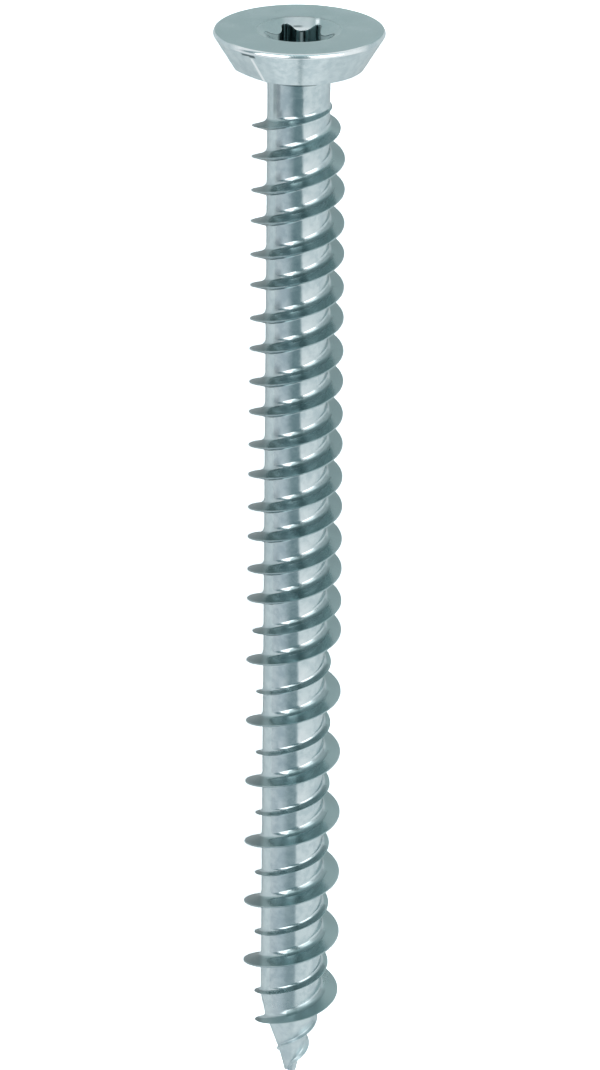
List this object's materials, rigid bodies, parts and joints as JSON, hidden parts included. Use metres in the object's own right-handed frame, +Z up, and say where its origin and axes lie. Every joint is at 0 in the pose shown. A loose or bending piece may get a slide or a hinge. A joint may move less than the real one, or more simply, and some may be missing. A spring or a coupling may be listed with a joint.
{
  "type": "concrete screw",
  "caption": "Countersunk steel concrete screw with a lobed drive recess, milling pockets under the head and a coarse self-tapping thread that runs down to a tapered point.",
  "frame": {"origin": "middle of the bottom of the screw's box as it lies on a flat surface", "axes": "+X runs from the head to the point, +Z is up from the surface that the screw lies on; the axis dips by 1.99 degrees towards the point"},
  "size_m": [0.0922, 0.0138, 0.0138],
  "materials": {
    "zinc_steel": "bright zinc plate"
  },
  "bodies": {
    "root": {"concrete_screw": "zinc_steel"}
  },
  "joints": []
}
